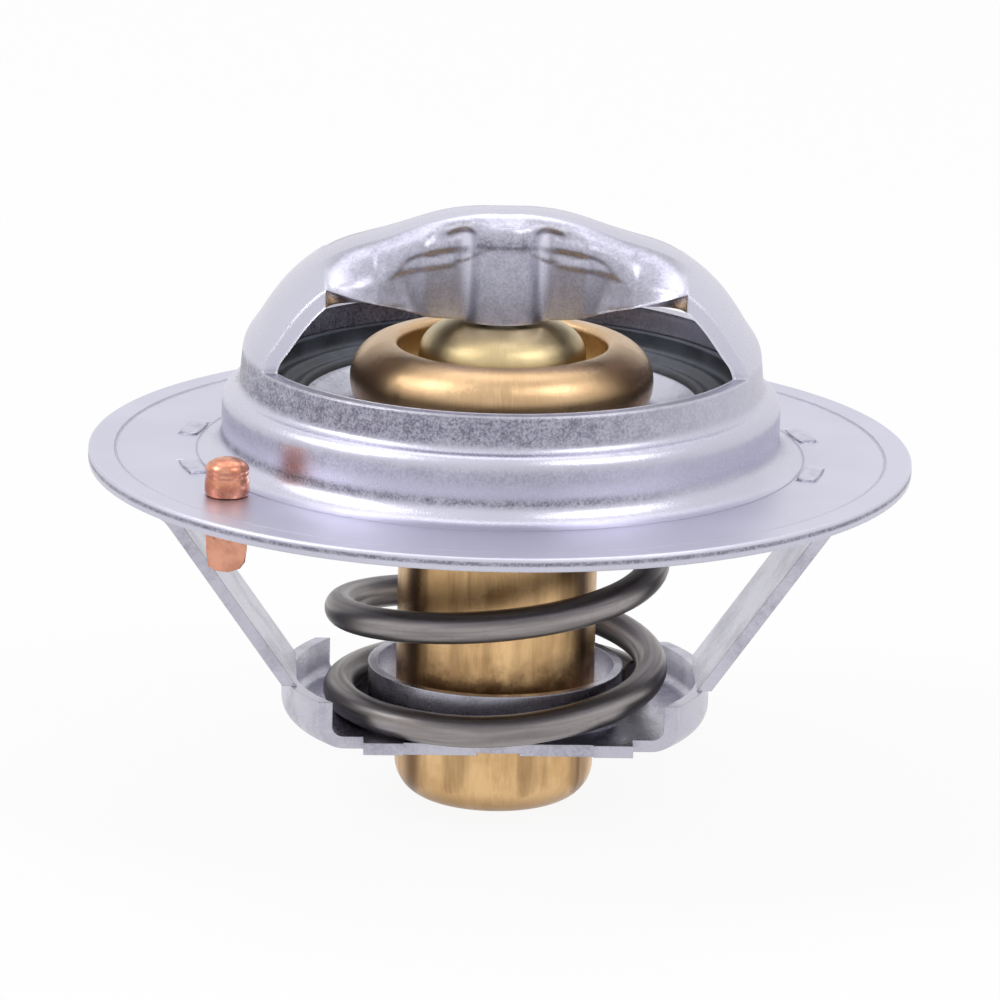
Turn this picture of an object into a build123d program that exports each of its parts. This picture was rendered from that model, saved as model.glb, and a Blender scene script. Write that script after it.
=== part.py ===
"""Engine thermostat with a bridge over its valve, a wax capsule and a loose air-bleed pin.

Millimetres. Z is the valve's axis and points up to the bridge, X runs along the bridge and
the two legs, and Z is zero on the upper face of the flange.
"""

import os
from bisect import bisect_right
from math import cos, radians, sin, sqrt

from build123d import *

# Flange and the ring that rises from it
flange_radius = 27.0
flange_thickness = 0.9
flange_edge_round = 0.15
flange_rim_width = 1.9
flange_step_depth = 0.1
flange_step_run = 0.2
ring_lower_radius = 18.3
ring_upper_radius = 17.2
ring_foot_round = 1.6
ring_shoulder_height = 4.0
ring_neck_height = 4.35
ring_shoulder_round = 1.0
ring_neck_round = 0.5
sill_height = 6.6
sill_taper = 0.2
flange_step_radius = flange_radius - flange_rim_width

# Domed wall over the ring, cut into two arms, and the bridge between their knees
arm_edge_half_width = 6.4
knee_reach = 11.7
dome_heights = [8.4, 9.5, 11.4, 12.55, 13.4]
dome_radii = [16.2, 15.5, 14.0, 12.6, 11.3]
crest_reach = [0.0, 2.7, 5.1, 7.7, 9.7, 10.9, knee_reach]
crest_heights = [16.25, 16.16, 15.6, 14.7, 14.1, 13.62, 13.14]
station_reach = [0.0, 3.0, 6.6, 8.9, knee_reach]
fold_half_widths = [1.4, 1.5, 1.7, 2.2, 2.6]
fold_drops = [0.12, 0.1, 0.12, 0.18, 0.19]
shoulder_half_widths = [2.7, 3.0, 3.3, 3.9, 4.2]
shoulder_heights = [14.25, 14.2, 13.65, 12.9, 12.65]
crease_half_widths = [1.15, 1.3, 3.0, 4.45, 5.3]
crease_heights = [13.0, 13.0, 12.75, 12.1, 12.36]
hem_half_widths = [1.15, 1.4, 3.25, 4.7, 6.1]
hem_heights = [9.05, 9.2, 10.2, 10.95, 12.1]
cross_shares = [0.0, 0.3, 0.5, 0.6, 1.0]
section_points = 21
bridge_stations = [0.0, 2.2, 4.4, 6.6, 8.9, 10.4, 11.1]
slope_step = 0.1

# Socket boss for the piston, in the middle of the bridge
piston_radius = 1.75
socket_clearance = 0.02
boss_radius = piston_radius + flange_thickness
boss_cover = 0.65
boss_top_round = 0.6
socket_roof = 1.1

# Lower bridge, a dished stamping whose legs are staked into the flange
plate_top_height = -17.45
plate_thickness = 0.8
plate_half_width = 9.2
plate_front_half_length = 8.8
plate_notch_half_length = 6.2
plate_notch_depth = 0.2
dish_radius = 14.1
dish_round = 1.45
dish_top_height = -15.15
dish_end_half_width = 7.75
leg_heel_reach = 24.1
leg_half_width = 4.0
leg_root_depth = 0.7
leg_flare_height = -4.2
leg_flare_rise = 1.6
leg_corner_round = 0.8
foot_half_width = 6.9
foot_inner_reach = 18.7
foot_round = 1.25
tab_pitch_radius = 20.7
tab_angle = 14.0
tab_length = 3.8
tab_width = 1.2
tab_clearance = 0.03
collar_radius = 8.4
collar_wall = 0.6
collar_height = 3.0
collar_root_round = 0.7
collar_overlap = 0.1

# Wax capsule
capsule_radius = 6.55
capsule_bottom_height = -23.4
capsule_bottom_round = 2.4
capsule_wall = 0.65
rim_under_height = 2.4
rim_under_round = 2.4
rim_radius = 9.95
rim_hole_radius = 6.875
rim_crest_height = 7.4
rim_crown_round = 2.45
rim_lip_round = 0.45
rim_wall = 0.95
guide_flange_bottom = 3.35
guide_flange_top = 5.5
guide_neck_radius = 5.5
guide_neck_height = 6.3
guide_top_radius = 2.7
guide_top_height = 8.85
guide_skirt_depth = 2.6
guide_pocket_depth = 2.2
guide_pocket_radius = 3.24
piston_clearance = 0.03
backup_ring_thickness = 1.0
boot_flange_thickness = 0.9
boot_clearance = 0.04
piston_lower_height = -12.0
piston_tip_chamfer = 0.4
boot_bottom_wall = 1.5
fill_gap = 0.04

# Valve plate and its rubber seal
valve_plate_thickness = 0.8
valve_bore_clearance = 0.02
valve_hub_radius = 10.9
valve_dish_radius = 12.8
valve_dish_rise = 1.1
valve_plate_radius = 15.6
valve_bend_round = 1.0
seal_inner_radius = 12.9
seal_radius = 17.1
seal_seat_gap = 0.1
seal_lip_height = 5.0
seal_lip_width = 0.5
seal_neck_round = 0.8
seal_toe_round = 0.2
seal_under_height = 2.0
seal_ridge_places = [0.5, 1.0, 1.5, 2.2]
seal_ridge_heights = [0.4, 0.24, 0.6, 0.4]

# Return spring
wire_radius = 1.05
coil_radius = 10.3
coil_pitch = 7.2
closed_turns = 0.62
coil_ease_angle = 40.0
rise_start_angle = -115.0
spring_seat_gap = 0.04
points_per_turn = 16

# Air-bleed pin, loose in its hole in the flange
pin_rim_inset = 5.34
pin_angle = 213.32
pin_head_radius = 1.45
pin_head_height = 2.4
pin_head_round = 0.7
pin_groove_height = 1.3
pin_groove_depth = 0.22
pin_groove_width = 0.3
pin_shank_radius = 0.95
pin_hole_clearance = 0.2
pin_tail_shoulder = -2.0
pin_tail_height = -5.2
pin_tail_width = 2.7
pin_tail_thickness = 0.8
pin_tail_flare = 0.6
pin_tail_taper = 0.85

# Spare length by which a cutting body passes the faces that it cuts
cut_margin = 1.0

# Faces of the stampings that other pieces seat on
flange_rim_under = -flange_thickness
flange_under = -flange_step_depth - flange_thickness
boss_top_height = crest_heights[0] - boss_cover
socket_top_height = boss_top_height - socket_roof


def smooth(keys, values, at):
    """Value at a place between keys, on a curve that never overshoots its keys."""
    count = len(keys)
    steps = [keys[i + 1] - keys[i] for i in range(count - 1)]
    slopes = [(values[i + 1] - values[i]) / steps[i] for i in range(count - 1)]
    tangents = [slopes[0]] + [0.0] * (count - 2) + [slopes[-1]]
    for i in range(1, count - 1):
        if slopes[i - 1] * slopes[i] > 0:
            near = 2 * steps[i] + steps[i - 1]
            far = steps[i] + 2 * steps[i - 1]
            tangents[i] = (near + far) / (near / slopes[i - 1] + far / slopes[i])
    i = min(max(bisect_right(keys, at) - 1, 0), count - 2)
    t = (at - keys[i]) / steps[i]
    start = (1 + 2 * t) * (1 - t) ** 2 * values[i] + t * (1 - t) ** 2 * steps[i] * tangents[i]
    end = t * t * (3 - 2 * t) * values[i + 1] + t * t * (t - 1) * steps[i] * tangents[i + 1]
    return start + end


def ring_corners():
    """Outer outline of the stamped ring from its sill down and out to the flange step."""
    return [
        (ring_upper_radius - sill_taper, sill_height),
        (ring_upper_radius, ring_neck_height),
        (ring_lower_radius, ring_shoulder_height),
        (ring_lower_radius, -flange_step_depth),
        (flange_step_radius, -flange_step_depth),
    ]


def dome_corners():
    """Outer outline of the domed wall from above the knees down to the sill."""
    dome = list(zip(dome_radii, dome_heights))
    return list(reversed(dome)) + [ring_corners()[0]]


def cross_keys(reach):
    """Half of the strip's outer section at a distance along the bridge: (half width, height)."""
    crest = smooth(crest_reach, crest_heights, reach)
    fold_height = crest - smooth(station_reach, fold_drops, reach)
    keys = [(0.0, crest), (smooth(station_reach, fold_half_widths, reach), fold_height)]
    lines = [
        (shoulder_half_widths, shoulder_heights),
        (crease_half_widths, crease_heights),
        (hem_half_widths, hem_heights),
    ]
    for half_widths, heights in lines:
        keys.append((smooth(station_reach, half_widths, reach), smooth(station_reach, heights, reach)))
    return keys


def section_curve(keys):
    """Smooth curve across the bridge through its named lines, on the same steps at every station."""
    key_shares = [-share for share in reversed(cross_shares[1:])] + cross_shares
    widths = [key[0] for key in keys]
    heights = [key[1] for key in keys]
    steps = [i / (section_points - 1) for i in range(section_points)]
    shares = [2 * step - 1 for step in steps]
    points = [(smooth(key_shares, widths, share), smooth(key_shares, heights, share)) for share in shares]
    return Edge.make_spline(points, parameters=steps)


def crest_slope(reach):
    """How far the bridge's crest falls for each millimetre along it."""
    start = min(reach, knee_reach - slope_step)
    fall = smooth(crest_reach, crest_heights, start) - smooth(crest_reach, crest_heights, start + slope_step)
    return fall / slope_step


def bridge_section(reach):
    """Closed section of the bridge's sheet at a distance along it, thicker where the sheet slopes."""
    half = cross_keys(abs(reach))
    keys = [(-width, height) for width, height in reversed(half[1:])] + half
    depth = flange_thickness * sqrt(1 + crest_slope(abs(reach)) ** 2)
    outer = section_curve(keys)
    inner = section_curve(offset_corners(keys, -depth))
    section = closed_face(outer, Line(outer @ 1, inner @ 1), inner, Line(inner @ 0, outer @ 0))
    return Plane.YZ.offset(reach) * section


def offset_corners(corners, distance):
    """An open outline moved sideways by a distance, to the left of its direction when positive."""
    moved = []
    for i, corner in enumerate(corners):
        here = Vector(*corner)
        before = (here - Vector(*corners[i - 1])).normalized() if i > 0 else None
        after = (Vector(*corners[i + 1]) - here).normalized() if i < len(corners) - 1 else None
        first = before or after
        second = after or before
        left = Vector(-first.Y, first.X)
        bisector = (left + Vector(-second.Y, second.X)).normalized()
        place = here + bisector * (distance / bisector.dot(left))
        moved.append((place.X, place.Y))
    return moved


def closed_face(*curves):
    """A flat face inside a loop of curves that are given in order."""
    return Face(Wire([edge for curve in curves for edge in curve.edges()]))


def turned_rounds(corners, rounds, thickness):
    """Bend radii on the other side of a sheet, for the bends of an outline and a step to its left."""
    turned = []
    for i, bend in enumerate(rounds):
        before = Vector(*corners[i + 1]) - Vector(*corners[i])
        after = Vector(*corners[i + 2]) - Vector(*corners[i + 1])
        left_turn = before.cross(after).Z > 0
        turned.append(bend - thickness if left_turn else bend + thickness)
    return turned


def sheet_profile(corners, rounds, thickness):
    """Section of bent sheet: an outline with rounded bends, and its offset to the left."""
    turned = turned_rounds(corners, rounds, thickness)
    near = FilletPolyline(*corners, radius=rounds)
    far = FilletPolyline(*offset_corners(corners, thickness), radius=turned)
    return closed_face(near, Line(near @ 1, far @ 1), far, Line(far @ 0, near @ 0))


def turned_part(section):
    """Solid of revolution about Z from a section drawn as (radius, height)."""
    return revolve(Plane.XZ * section, Axis.Z)


def rod(radius, bottom, top):
    """Upright round bar on the axis."""
    return Pos(0, 0, bottom) * extrude(Circle(radius), amount=top - bottom)


def tab_places():
    """Places of the four staked tabs, each turned to lie along the flange."""
    return [Rot(0, 0, side + turn) for side in (0, 180) for turn in (tab_angle, -tab_angle)]


def tab_block(bottom, top, clearance=0.0):
    """One staked tab, or its slot when a clearance is given, before it is turned to its place."""
    block = Box(tab_width + 2 * clearance, tab_length + 2 * clearance, top - bottom)
    return Pos(tab_pitch_radius, 0, (top + bottom) / 2) * block


def pin_place():
    """Place of the air-bleed pin in the flange."""
    reach = flange_radius - pin_rim_inset
    return Pos(reach * cos(radians(pin_angle)), reach * sin(radians(pin_angle)), 0)


def dome_profile():
    """Section of the sheet from above the knees down the ring to the flange's step."""
    dome = dome_corners()
    bends = [ring_neck_round, ring_shoulder_round, ring_foot_round]
    skins = []
    for depth in (0.0, flange_thickness):
        outline = offset_corners(dome + ring_corners()[1:], -depth)
        upper = outline[: len(dome)]
        lower = outline[len(dome) - 1 :]
        ends = [Vector(*upper[1]) - Vector(*upper[0]), Vector(*lower[1]) - Vector(*lower[0])]
        rounds = turned_rounds(lower, bends, -depth)
        skins.append((Spline(*upper, tangents=ends), FilletPolyline(*lower, radius=rounds)))
    (outer_dome, outer_wall), (inner_dome, inner_wall) = skins
    foot = Line(outer_wall @ 1, inner_wall @ 1)
    top = Line(inner_dome @ 0, outer_dome @ 0)
    return closed_face(outer_dome, outer_wall, foot, inner_wall, inner_dome, top)


def window_cut():
    """Everything above the sill apart from the two arms between ring and knees."""
    lean = (arm_edge_half_width - hem_half_widths[-1]) / (hem_heights[-1] - sill_height)
    top_half_width = arm_edge_half_width - lean * (crest_heights[0] - sill_height)
    edge = [(arm_edge_half_width, sill_height), (top_half_width, crest_heights[0])]
    outline = edge + [(-width, height) for width, height in reversed(edge)]
    arms = extrude(Plane.YZ * Polygon(*outline, align=None), flange_radius, both=True)
    arms -= Box(2 * knee_reach, 2 * flange_radius, 4 * crest_heights[0])
    return rod(flange_radius, sill_height, crest_heights[0]) - arms


def make_top_frame():
    """Flange, ring, arms, bridge and socket boss: one stamping."""
    rim_section = Polygon(
        (flange_step_radius, -flange_step_depth),
        (flange_step_radius, flange_under),
        (flange_step_radius + flange_step_run, flange_rim_under),
        (flange_radius, flange_rim_under),
        (flange_radius, 0),
        (flange_step_radius + flange_step_run, 0),
        align=None,
    )
    rim = turned_part(rim_section)
    rim = fillet(rim.edges().filter_by(GeomType.CIRCLE).sort_by(SortBy.RADIUS)[-2:], flange_edge_round)
    # The turned surface's seam goes to the front, where the window is, so each knee is one clean outline
    dome = Rot(0, 0, 90) * turned_part(dome_profile()) - window_cut()
    left_knee, right_knee = dome.faces().filter_by(Plane.YZ).sort_by(Axis.X)
    stations = [-reach for reach in reversed(bridge_stations[1:])] + bridge_stations
    bridge = loft([left_knee, *[bridge_section(reach) for reach in stations], right_knee])
    boss_bottom = hem_heights[0]
    boss = rod(boss_radius, boss_bottom, boss_top_height)
    boss = fillet(boss.edges().filter_by(GeomType.CIRCLE).sort_by(Axis.Z)[-1], boss_top_round)
    frame = rim + dome + bridge + boss
    frame -= rod(piston_radius + socket_clearance, boss_bottom - cut_margin, socket_top_height)
    for place in tab_places():
        frame -= place * tab_block(flange_under - cut_margin, cut_margin, tab_clearance)
    hole = rod(pin_shank_radius + pin_hole_clearance, flange_under - cut_margin, cut_margin)
    return frame - pin_place() * hole


def make_leg():
    """One flat leg with its foot folded in under the flange."""
    run = (leg_heel_reach - dish_radius) / (flange_under - dish_top_height)
    root = (dish_radius - leg_root_depth * run, dish_top_height - leg_root_depth)
    corners = [root, (leg_heel_reach, flange_under), (foot_inner_reach, flange_under)]
    profile = Plane.XZ * sheet_profile(corners, [foot_round], plate_thickness)
    leg = extrude(profile, foot_half_width, both=True)
    edge = [
        (leg_half_width, root[1] - 2 * leg_corner_round),
        (leg_half_width, leg_flare_height),
        (foot_half_width, leg_flare_height + leg_flare_rise),
        (foot_half_width, flange_under + 2 * leg_corner_round),
    ]
    outline = edge + [(-width, height) for width, height in reversed(edge)]
    width_cut = Plane.YZ * closed_face(FilletPolyline(*outline, radius=leg_corner_round, close=True))
    leg &= extrude(width_cut, leg_heel_reach, both=True)
    below = plate_top_height - plate_thickness
    outside = rod(leg_heel_reach, below, dish_top_height) - rod(
        dish_radius, below - cut_margin, dish_top_height + cut_margin
    )
    return leg - outside - rod(dish_radius - plate_thickness, below, dish_top_height)


def make_lower_bridge():
    """Dish under the spring, legs, feet and the collar round the capsule: one stamping."""
    plate_bottom = plate_top_height - plate_thickness
    hole_radius = collar_radius + collar_root_round
    dish_outline = [
        (hole_radius, plate_bottom),
        (dish_radius, plate_bottom),
        (dish_radius, dish_top_height),
    ]
    dish = turned_part(sheet_profile(dish_outline, [dish_round], plate_thickness))
    plan = Rectangle(2 * plate_front_half_length, 2 * plate_half_width)
    plan += Rectangle(2 * leg_heel_reach, 2 * dish_end_half_width)
    notch = Rectangle(2 * plate_notch_half_length, 2 * plate_notch_depth)
    for front in (-1, 1):
        plan -= Pos(0, front * plate_half_width) * notch
    deep = dish_top_height - plate_bottom + 2 * cut_margin
    body = dish & Pos(0, 0, plate_bottom - cut_margin) * extrude(plan, amount=deep)
    collar_outline = [
        (collar_radius, plate_top_height + collar_height),
        (collar_radius, plate_top_height),
        (hole_radius + collar_overlap, plate_top_height),
    ]
    body += turned_part(sheet_profile(collar_outline, [collar_root_round], -collar_wall))
    for side in (0, 180):
        body += Rot(0, 0, side) * make_leg()
    for place in tab_places():
        body += place * tab_block(flange_under - plate_thickness, -flange_step_depth)
    return body


def make_piston():
    """Steel pin that pushes against the bridge."""
    bar = rod(piston_radius, piston_lower_height, socket_top_height - socket_clearance)
    return chamfer(bar.edges().filter_by(GeomType.CIRCLE), piston_tip_chamfer)


def make_capsule_cup():
    """Drawn brass cup whose mouth is rolled over the guide's flange."""
    inside_radius = capsule_radius - capsule_wall
    inside_bottom = capsule_bottom_height + capsule_wall
    outside = FilletPolyline(
        (capsule_radius, rim_under_height),
        (rim_radius, rim_under_height),
        (rim_radius, rim_crest_height),
        (rim_hole_radius, rim_crest_height),
        (rim_hole_radius, guide_flange_top),
        radius=[rim_under_round, rim_crown_round, rim_lip_round],
    )
    inside = Polyline(
        (rim_hole_radius, guide_flange_top),
        (rim_radius - rim_wall, guide_flange_top),
        (rim_radius - rim_wall, guide_flange_bottom),
        (inside_radius, guide_flange_bottom),
    )
    inner_skin = FilletPolyline(
        (inside_radius, guide_flange_bottom),
        (inside_radius, inside_bottom),
        (0, inside_bottom),
        radius=capsule_bottom_round - capsule_wall,
    )
    outer_skin = FilletPolyline(
        (0, capsule_bottom_height),
        (capsule_radius, capsule_bottom_height),
        (capsule_radius, rim_under_height),
        radius=capsule_bottom_round,
    )
    axis_line = Line((0, inside_bottom), (0, capsule_bottom_height))
    return turned_part(closed_face(outside, inside, inner_skin, axis_line, outer_skin))


def make_capsule_guide():
    """Turned brass guide for the piston, clamped by the cup's rolled rim."""
    bore_radius = piston_radius + piston_clearance
    skirt_radius = capsule_radius - capsule_wall - fill_gap
    skirt_bottom = guide_flange_bottom - guide_skirt_depth
    flange_edge = rim_radius - rim_wall - fill_gap
    seat_height = skirt_bottom + guide_pocket_depth
    dome = Spline(
        (guide_neck_radius, guide_neck_height),
        (guide_top_radius, guide_top_height),
        tangents=[(0, 1), (-1, 0.25)],
    )
    rest = Polyline(
        (guide_top_radius, guide_top_height),
        (bore_radius, guide_top_height),
        (bore_radius, seat_height),
        (guide_pocket_radius, seat_height),
        (guide_pocket_radius, skirt_bottom),
        (skirt_radius, skirt_bottom),
        (skirt_radius, guide_flange_bottom),
        (flange_edge, guide_flange_bottom),
        (flange_edge, guide_flange_top),
        (guide_neck_radius, guide_flange_top),
        (guide_neck_radius, guide_neck_height),
    )
    return turned_part(closed_face(dome, rest))


def make_backup_ring():
    """Hard ring that keeps the rubber boot out of the guide's bore."""
    top = guide_flange_bottom - guide_skirt_depth + guide_pocket_depth
    bottom = top - backup_ring_thickness
    bore = rod(piston_radius + piston_clearance, bottom - cut_margin, top + cut_margin)
    return rod(guide_pocket_radius - fill_gap, bottom, top) - bore


def boot_bottom():
    """Lowest point of the rubber boot."""
    return piston_lower_height - boot_clearance - boot_bottom_wall


def make_rubber_boot():
    """Rubber boot round the piston; the wax squeezes it and drives the piston out."""
    skirt_bottom = guide_flange_bottom - guide_skirt_depth
    top = skirt_bottom + guide_pocket_depth - backup_ring_thickness
    tube = rod(guide_pocket_radius - fill_gap, boot_bottom(), top)
    collar = rod(capsule_radius - capsule_wall - fill_gap, skirt_bottom - boot_flange_thickness, skirt_bottom)
    bore = rod(piston_radius + boot_clearance, piston_lower_height - boot_clearance, top + cut_margin)
    return tube + collar - bore


def make_wax_charge():
    """Wax filling between the boot and the cup."""
    top = guide_flange_bottom - guide_skirt_depth - boot_flange_thickness - fill_gap
    bottom = capsule_bottom_height + capsule_wall + fill_gap
    radius = capsule_radius - capsule_wall - fill_gap
    charge = rod(radius, bottom, top)
    edge = charge.edges().filter_by(GeomType.CIRCLE).sort_by(Axis.Z)[0]
    charge = fillet(edge, capsule_bottom_round - capsule_wall)
    return charge - rod(guide_pocket_radius, boot_bottom() - fill_gap, top + cut_margin)


def valve_corners():
    """Upper outline of the valve plate from its bore to its rim."""
    raised = rim_under_height + valve_dish_rise
    return [
        (capsule_radius + valve_bore_clearance, rim_under_height),
        (valve_hub_radius, rim_under_height),
        (valve_dish_radius, raised),
        (valve_plate_radius, raised),
    ]


def valve_section():
    """Section of the valve plate."""
    return sheet_profile(valve_corners(), [valve_bend_round, valve_bend_round], -valve_plate_thickness)


def make_valve_plate():
    """Dished steel disc held up against the capsule's rim by the spring."""
    return turned_part(valve_section())


def make_valve_seal():
    """Rubber ring moulded round the valve plate's rim, with a lip inside the stamped ring."""
    wall = offset_corners(ring_corners()[:4], -(flange_thickness + seal_seat_gap))
    top_wall, neck, shoulder = (Vector(*corner) for corner in wall[:3])
    lip = neck + (top_wall - neck) * ((seal_lip_height - neck.Y) / (top_wall.Y - neck.Y))
    toe = neck + (shoulder - neck) * ((seal_radius - neck.X) / (shoulder.X - neck.X))
    raised = rim_under_height + valve_dish_rise
    seat = FilletPolyline(
        (lip.X, lip.Y),
        (neck.X, neck.Y),
        (toe.X, toe.Y),
        (seal_radius, seal_under_height),
        radius=[seal_neck_round, seal_toe_round],
    )
    under = Polyline(
        (seal_radius, seal_under_height),
        (seal_inner_radius, seal_under_height),
        (seal_inner_radius, raised),
    )
    ridges = [
        (seal_inner_radius + place, raised + height)
        for place, height in zip(seal_ridge_places, seal_ridge_heights)
    ]
    ridged = Spline((seal_inner_radius, raised), *ridges, (lip.X - seal_lip_width, lip.Y))
    rim = Line((lip.X - seal_lip_width, lip.Y), (lip.X, lip.Y))
    ring = turned_part(closed_face(seat, under, ridged, rim))
    return ring - turned_part(valve_section())


def coil_height(turned, rise_turn, low):
    """Height of the wire's middle after an angle from the start of the rise, easing at both ends."""
    per_degree = coil_pitch / 360
    if turned <= 0:
        return low
    if turned < coil_ease_angle:
        return low + per_degree * turned**2 / (2 * coil_ease_angle)
    if turned < rise_turn - coil_ease_angle:
        return low + per_degree * (turned - coil_ease_angle / 2)
    left = max(rise_turn - turned, 0)
    return low + per_degree * (rise_turn - coil_ease_angle - left**2 / (2 * coil_ease_angle))


def make_return_spring():
    """Open coil with a closed turn at each end, between the lower plate and the valve plate."""
    low = plate_top_height + wire_radius + spring_seat_gap
    high = rim_under_height - valve_plate_thickness - wire_radius - spring_seat_gap
    rise_turn = (high - low) * 360 / coil_pitch + coil_ease_angle
    closed = 360 * closed_turns
    count = round((rise_turn + 2 * closed) * points_per_turn / 360)
    points = []
    for i in range(count + 1):
        turned = -closed + (rise_turn + 2 * closed) * i / count
        angle = radians(rise_start_angle + turned)
        height = coil_height(turned, rise_turn, low)
        points.append((coil_radius * cos(angle), coil_radius * sin(angle), height))
    path = Spline(*points)
    section = Plane(origin=path @ 0, z_dir=path % 0) * Circle(wire_radius)
    return sweep(section, path=path)


def make_jiggle_pin():
    """Loose copper pin: a grooved round head above the flange and a flattened tail below."""
    head = rod(pin_head_radius, -flange_step_depth, pin_head_height)
    head = fillet(head.edges().filter_by(GeomType.CIRCLE).sort_by(Axis.Z)[-1], pin_head_round)
    groove_top = pin_groove_height + pin_groove_width
    groove = rod(pin_head_radius + cut_margin, pin_groove_height, groove_top)
    groove -= rod(pin_head_radius - pin_groove_depth, pin_groove_height - cut_margin, groove_top + cut_margin)
    shank = rod(pin_shank_radius, pin_tail_shoulder - pin_shank_radius, -flange_step_depth)
    half_width = pin_tail_width / 2
    blade_outline = Polygon(
        (-pin_shank_radius, pin_tail_shoulder),
        (-half_width, pin_tail_shoulder - pin_tail_flare),
        (-half_width * pin_tail_taper, pin_tail_height + pin_tail_flare / 2),
        (0, pin_tail_height),
        (half_width * pin_tail_taper, pin_tail_height + pin_tail_flare),
        (half_width, pin_tail_shoulder - pin_tail_flare),
        (pin_shank_radius, pin_tail_shoulder),
        align=None,
    )
    blade = extrude(Plane.XZ * blade_outline, pin_tail_thickness / 2, both=True)
    return pin_place() * (head - groove + shank + blade)


makers = {
    "top_frame": make_top_frame,
    "lower_bridge": make_lower_bridge,
    "piston": make_piston,
    "capsule_cup": make_capsule_cup,
    "capsule_guide": make_capsule_guide,
    "backup_ring": make_backup_ring,
    "rubber_boot": make_rubber_boot,
    "wax_charge": make_wax_charge,
    "valve_plate": make_valve_plate,
    "valve_seal": make_valve_seal,
    "return_spring": make_return_spring,
    "jiggle_pin": make_jiggle_pin,
}

os.makedirs("parts", exist_ok=True)
for name, maker in makers.items():
    export_step(maker(), f"parts/{name}.step")
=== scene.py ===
from math import cos, pi, radians, sin

import bmesh
import bpy
from mathutils import Matrix, Quaternion, Vector
from mathutils.bvhtree import BVHTree


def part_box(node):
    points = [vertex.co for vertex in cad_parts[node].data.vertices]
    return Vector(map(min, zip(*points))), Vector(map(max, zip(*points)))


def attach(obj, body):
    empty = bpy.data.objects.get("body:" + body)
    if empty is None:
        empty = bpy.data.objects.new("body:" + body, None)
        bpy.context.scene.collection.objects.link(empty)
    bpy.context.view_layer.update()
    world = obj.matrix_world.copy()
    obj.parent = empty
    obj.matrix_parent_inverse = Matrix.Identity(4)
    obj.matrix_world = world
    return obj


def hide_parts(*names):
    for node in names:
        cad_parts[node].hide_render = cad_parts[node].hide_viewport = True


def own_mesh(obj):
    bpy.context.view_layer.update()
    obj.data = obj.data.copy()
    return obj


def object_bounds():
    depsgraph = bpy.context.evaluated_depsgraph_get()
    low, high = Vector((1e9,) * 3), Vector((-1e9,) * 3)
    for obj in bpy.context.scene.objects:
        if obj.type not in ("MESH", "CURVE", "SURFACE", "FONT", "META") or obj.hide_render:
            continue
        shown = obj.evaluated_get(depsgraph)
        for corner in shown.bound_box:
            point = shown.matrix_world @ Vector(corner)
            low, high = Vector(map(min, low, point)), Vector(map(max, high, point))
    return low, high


MM = 0.001
TINY = 1e-9

# Camera, fitted to the flange's edges
CAMERA_DISTANCE = 600 * MM
CAMERA_ELEVATION = radians(15)
CAMERA_AZIMUTH = radians(-2)
CAMERA_ROLL = radians(-1.27)
CAMERA_TARGET = Vector((0.066, 0, -3.4)) * MM
CAMERA_LENS = 328.7
CAMERA_SENSOR = 36
CAMERA_CLIP_START = 0.01
CAMERA_CLIP_END = 20

# Lights as (name, direction, distance, size, brightness of the lit face, tint), and the soft light all round
LAMPS = (
    ("left_box", (-0.72, -0.12, 0.69), 0.6, (0.24, 0.26), 6.0, (1.0, 0.99, 0.97)),
    ("right_box", (0.50, -0.39, 0.78), 0.6, (0.18, 0.22), 6.0, (1.0, 0.99, 0.98)),
    ("top_box", (0.0, 0.35, 0.94), 0.8, (0.7, 0.5), 1.3, (0.97, 0.97, 1.0)),
)
WORLD_STRENGTH = 0.45
FLOOR_REACH = 4.0
FLOOR_WHITE_SHARE = 0.92

# Return spring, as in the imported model
WIRE_RADIUS = 1.05 * MM
COIL_RADIUS = 10.3 * MM
COIL_PITCH = 7.2 * MM
CLOSED_TURNS = 0.62
EASE_ANGLE = 40.0
RISE_START_ANGLE = -115.0
SEAT_GAP = 0.04 * MM
PLATE_TOP = -17.45 * MM
VALVE_UNDERSIDE = 1.6 * MM
POINTS_PER_TURN = 72
POINTS_ROUND_WIRE = 28
WIRE_END_CHAMFER = 0.15 * MM
WIRE_MAP_LENGTH = 10 * MM

# Rounds that catch the light, and the angles above which shading keeps an edge sharp
EDGE_ROUND = 0.12 * MM
WINDOW_EDGE_ROUND = 0.3 * MM
SHEET_SHARP_ANGLE = 28
WIRE_SHARP_ANGLE = 35
HEADED_SHARP_ANGLE = 50

# Sizes of the top stamping that its marks follow
SILL_HEIGHT = 6.6 * MM
NECK_HEIGHT = 4.35 * MM
RIM_RADIUS = 27.0 * MM
RIM_STEP_RADIUS = 25.1 * MM
FLANGE_TOP = -0.1 * MM

# Marks of the top stamping, mostly painted shade with one painted highlight: each band as its low and high
# end and how softly it ends, each ramp as its ends
DOME_FOOT_BAND = (NECK_HEIGHT + 0.25 * MM, SILL_HEIGHT + 0.1 * MM, 0.35 * MM)
SHOULDER_BAND = (2.3 * MM, 3.5 * MM, 0.5 * MM)
FOOT_BAND = (0.95 * MM, 1.5 * MM, 0.25 * MM)
WALL_BAND = (16.6 * MM, 19.4 * MM, 0.3 * MM)
EDGE_BAND = (-0.5 * MM, -0.24 * MM, 0.08 * MM)
STEP_BAND = (RIM_STEP_RADIUS + 0.02 * MM, RIM_STEP_RADIUS + 0.14 * MM, 0.05 * MM)
SADDLE_BAND = (13.7 * MM, 15.1 * MM, 0.5 * MM)
FLANK_BAND = (2.2 * MM, 2.8 * MM, 0.2 * MM)
RING_RAMP = (2 * MM, 15 * MM)
EDGE_RAMP = (RIM_RADIUS - 0.25 * MM, RIM_RADIUS - 0.1 * MM)
FLANGE_TOP_RAMP = (-0.3 * MM, -0.2 * MM)
MATT_RAMP = (19.0 * MM, 19.8 * MM)
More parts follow.
